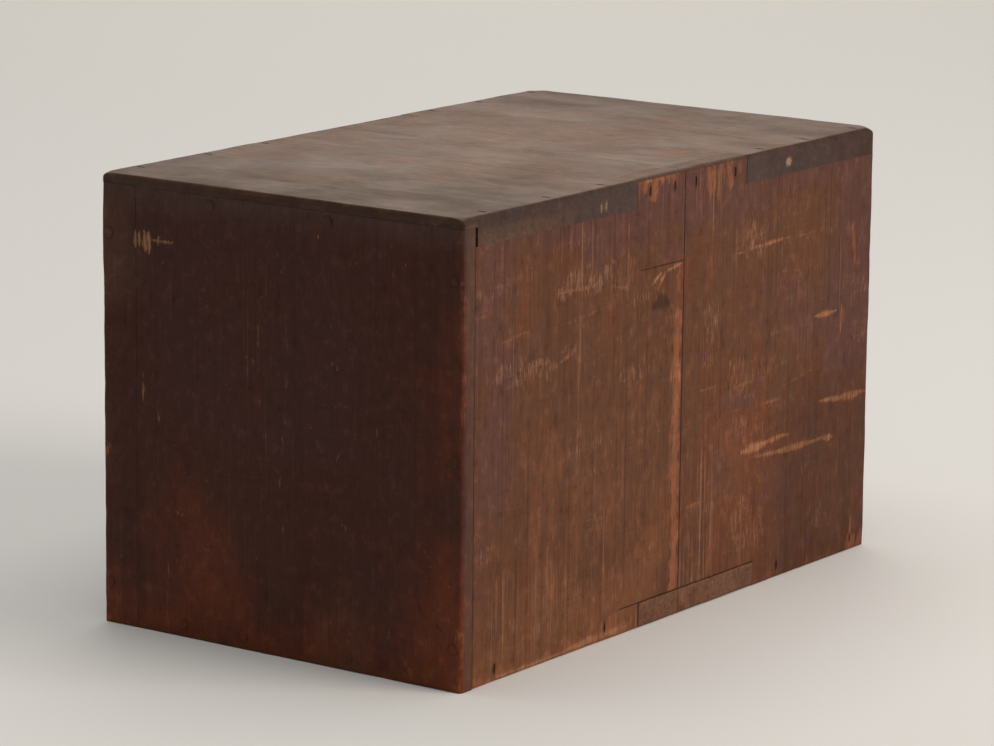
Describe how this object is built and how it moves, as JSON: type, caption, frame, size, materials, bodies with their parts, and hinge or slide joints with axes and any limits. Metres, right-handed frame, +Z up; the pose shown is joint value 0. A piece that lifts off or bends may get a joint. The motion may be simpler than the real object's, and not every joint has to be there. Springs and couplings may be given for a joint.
{
  "type": "tansu",
  "caption": "Small wooden chest of drawers: a finger-jointed case of glued boards with a plugged back panel, and full-width drawers on shelves, each pulled by a swinging iron bail.",
  "frame": {"origin": "middle of the underside of the case, on the floor", "axes": "+Z up; the drawers face -Y and the pegged back panel faces +Y; +X is to the right seen from the front"},
  "size_m": [0.27, 0.4684, 0.28],
  "materials": {
    "case_wood": "aged, rubbed cedar board, worn orange at the edges",
    "shelf_wood": "bare planed cedar, aged",
    "drawer_wood": "bare planed paulownia, aged",
    "plug_wood": "end grain of hardwood pegs and plugs",
    "iron": "hand-forged black iron with a little rust"
  },
  "bodies": {
    "case": {"top_board_rear": "case_wood", "top_board_front": "case_wood", "bottom_board_rear": "case_wood", "bottom_board_front": "case_wood", "left_side_rear": "case_wood", "left_side_front": "case_wood", "right_side_rear": "case_wood", "right_side_front": "case_wood", "back_panel_wide": "case_wood", "back_panel_narrow": "case_wood", "shelf_lower": "shelf_wood", "shelf_upper": "shelf_wood", "joint_nails": "iron", "back_plugs": "plug_wood"},
    "drawer_lower": {"drawer_lower_front": "case_wood", "drawer_lower_left_side": "drawer_wood", "drawer_lower_right_side": "drawer_wood", "drawer_lower_back": "drawer_wood", "drawer_lower_bottom": "drawer_wood", "drawer_lower_pegs": "plug_wood", "drawer_lower_pull_posts": "iron", "drawer_lower_pull_plates": "iron"},
    "bail_lower": {"drawer_lower_bail": "iron"},
    "drawer_middle": {"drawer_middle_front": "case_wood", "drawer_middle_left_side": "drawer_wood", "drawer_middle_right_side": "drawer_wood", "drawer_middle_back": "drawer_wood", "drawer_middle_bottom": "drawer_wood", "drawer_middle_pegs": "plug_wood", "drawer_middle_pull_posts": "iron", "drawer_middle_pull_plates": "iron"},
    "bail_middle": {"drawer_middle_bail": "iron"},
    "drawer_upper": {"drawer_upper_front": "case_wood", "drawer_upper_left_side": "drawer_wood", "drawer_upper_right_side": "drawer_wood", "drawer_upper_back": "drawer_wood", "drawer_upper_bottom": "drawer_wood", "drawer_upper_pegs": "plug_wood", "drawer_upper_pull_posts": "iron", "drawer_upper_pull_plates": "iron"},
    "bail_upper": {"drawer_upper_bail": "iron"}
  },
  "joints": [
    {"name": "drawer_lower_slide", "type": "slide", "parent": "case", "child": "drawer_lower", "axis": [0, -1, 0], "range_m": [0, 0.36]},
    {"name": "bail_lower_swing", "type": "hinge", "parent": "drawer_lower", "child": "bail_lower", "pos_m": [0, -0.2355, 0.06755], "axis": [-1, 0, 0], "range_deg": [-10, 170]},
    {"name": "drawer_middle_slide", "type": "slide", "parent": "case", "child": "drawer_middle", "axis": [0, -1, 0], "range_m": [0, 0.36]},
    {"name": "bail_middle_swing", "type": "hinge", "parent": "drawer_middle", "child": "bail_middle", "pos_m": [0, -0.2355, 0.15755], "axis": [-1, 0, 0], "range_deg": [-10, 170]},
    {"name": "drawer_upper_slide", "type": "slide", "parent": "case", "child": "drawer_upper", "axis": [0, -1, 0], "range_m": [0, 0.36]},
    {"name": "bail_upper_swing", "type": "hinge", "parent": "drawer_upper", "child": "bail_upper", "pos_m": [0, -0.2355, 0.23755], "axis": [-1, 0, 0], "range_deg": [-10, 170]}
  ]
}
